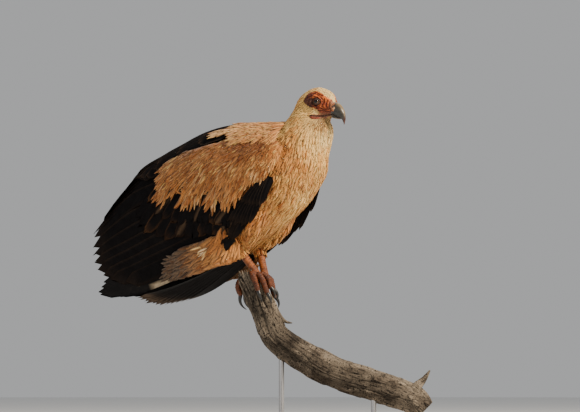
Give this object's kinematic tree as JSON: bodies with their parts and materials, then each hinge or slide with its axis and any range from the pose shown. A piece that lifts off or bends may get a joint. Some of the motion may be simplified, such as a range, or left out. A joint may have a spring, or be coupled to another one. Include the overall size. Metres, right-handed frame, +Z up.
{
  "type": "vulture",
  "caption": "Life-size palm-nut vulture with folded wings, gripping the broken tip of a curved dead branch that slim rods hold over a round wooden base.",
  "frame": {"origin": "centre of the stand base's underside, on the surface that it stands on", "axes": "+Z up, +X the way the bird faces, +Y to the bird's left"},
  "size_m": [0.5924, 0.3534, 0.5945],
  "materials": {
    "skin_and_down": "matte",
    "down": "matte",
    "black_vane": "satin",
    "pale_vane": "satin",
    "horn": "satin",
    "eye": "gloss",
    "scaly_skin": "matte",
    "dead_wood": "rough",
    "dark_wood": "satin",
    "steel": "brushed"
  },
  "bodies": {
    "root": {"head": "skin_and_down", "neck": "down", "trunk": "down", "thigh_left": "down", "thigh_right": "down", "wing_left_coverts": "down", "wing_right_coverts": "down", "wing_left_alula": "black_vane", "wing_right_alula": "black_vane", "wing_left_scapulars": "black_vane", "wing_right_scapulars": "black_vane", "wing_left_secondaries": "black_vane", "wing_right_secondaries": "black_vane", "wing_left_primaries": "pale_vane", "wing_right_primaries": "pale_vane", "tail": "black_vane", "bill_upper": "horn", "bill_lower": "horn", "eye_left": "eye", "eye_right": "eye", "tarsus_left": "scaly_skin", "tarsus_right": "scaly_skin", "foot_left": "scaly_skin", "foot_right": "scaly_skin", "claw_left_1": "horn", "claw_left_2": "horn", "claw_left_3": "horn", "claw_left_4": "horn", "claw_right_1": "horn", "claw_right_2": "horn", "claw_right_3": "horn", "claw_right_4": "horn", "perch_branch": "dead_wood", "perch_twig": "dead_wood", "perch_splinter": "dead_wood", "stand_base": "dark_wood", "stand_rod_front": "steel", "stand_rod_rear": "steel"}
  },
  "joints": []
}
